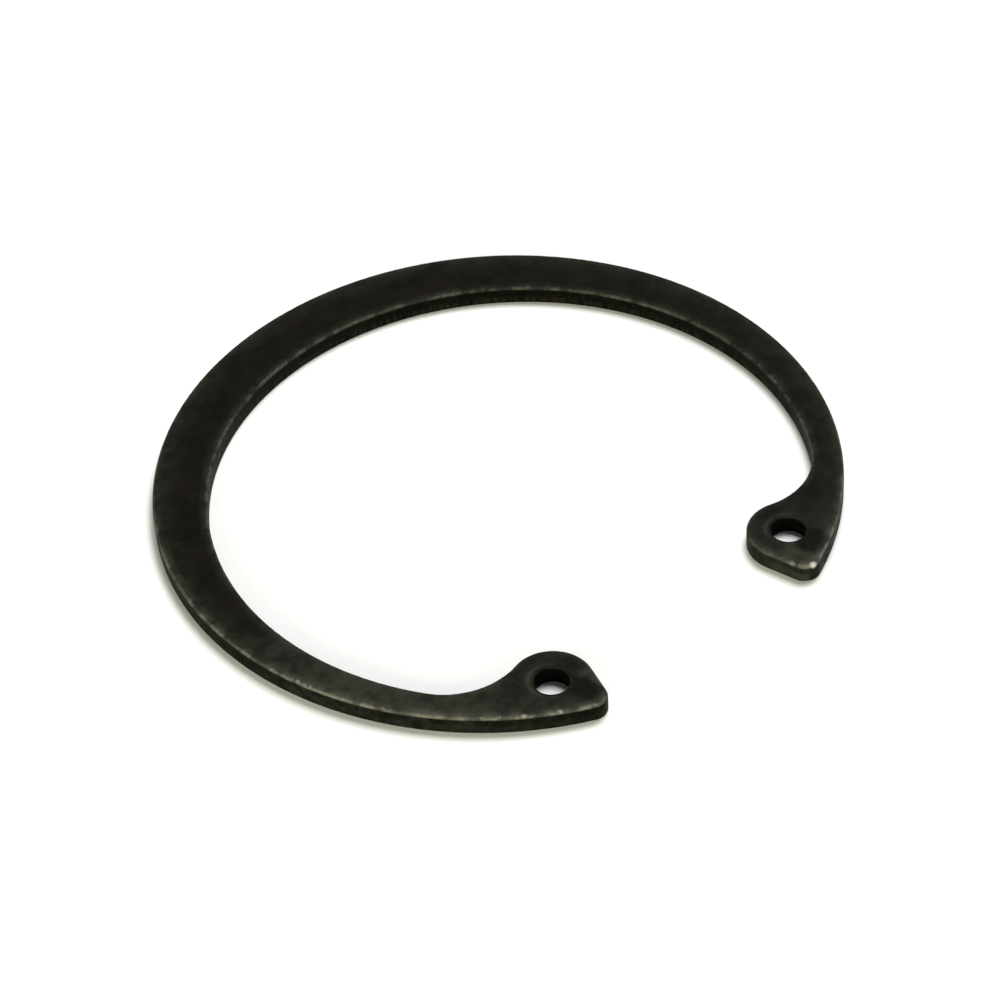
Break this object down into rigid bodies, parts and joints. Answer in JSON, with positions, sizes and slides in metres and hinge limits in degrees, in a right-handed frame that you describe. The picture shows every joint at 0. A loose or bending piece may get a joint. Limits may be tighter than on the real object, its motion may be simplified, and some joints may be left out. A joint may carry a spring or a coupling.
{
  "type": "internal retaining ring",
  "caption": "Open spring steel ring that snaps into a groove inside a bore; the band tapers from its back to lugs with plier holes beside the gap.",
  "frame": {"origin": "centre of the outer edge, on the lower face that the ring lies on", "axes": "+Z along the axis of the ring, out of its rolled upper face; -Y through the middle of the gap between the lugs"},
  "size_m": [0.0504, 0.0484, 0.0015],
  "materials": {
    "phosphated_spring_steel": "black phosphate and oil, satin, worn brighter along the edges"
  },
  "bodies": {
    "root": {"retaining_ring": "phosphated_spring_steel"}
  },
  "joints": []
}
